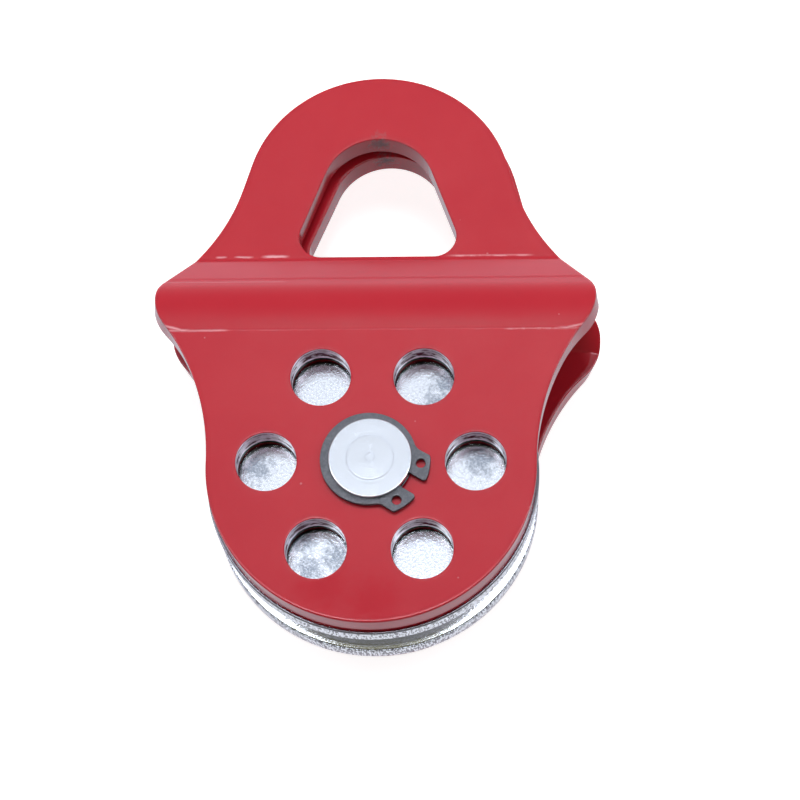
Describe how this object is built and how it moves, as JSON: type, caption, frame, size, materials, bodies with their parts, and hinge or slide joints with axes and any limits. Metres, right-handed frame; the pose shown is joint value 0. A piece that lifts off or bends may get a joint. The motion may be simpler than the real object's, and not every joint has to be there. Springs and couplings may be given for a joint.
{
  "type": "snatch block",
  "caption": "Snatch block for wire rope: two red bent cheek plates that swing apart on one pin, with a grooved steel sheave between them and a shackle eye.",
  "frame": {"origin": "on the axle pin's axis, at the flat rear face of the pin's head, on which the block lies", "axes": "+Z along the pin's axis, out of the front plate; +Y towards the shackle eye; +X to the right as seen from the front"},
  "size_m": [0.0961, 0.1309, 0.0364],
  "materials": {
    "red_paint": "gloss red paint over steel",
    "bright_zinc": "bright zinc plate, turned",
    "bush_bronze": "oiled sintered bronze",
    "pin_zinc": "zinc plate over turned steel",
    "dark_phosphate": "grey phosphate on spring steel"
  },
  "bodies": {
    "rear_cheek": {"rear_plate": "red_paint", "axle_pin": "pin_zinc", "retaining_ring": "dark_phosphate"},
    "front_cheek": {"front_plate": "red_paint"},
    "wheel": {"sheave": "bright_zinc", "sheave_bush": "bush_bronze"}
  },
  "joints": [
    {"name": "front_cheek_swivel", "type": "hinge", "parent": "rear_cheek", "child": "front_cheek", "pos_m": [0, 0, 0.031], "axis": [0, 0, 1], "continuous": true},
    {"name": "sheave_spin", "type": "hinge", "parent": "rear_cheek", "child": "wheel", "pos_m": [0, 0, 0.018], "axis": [0, 0, 1], "continuous": true}
  ]
}
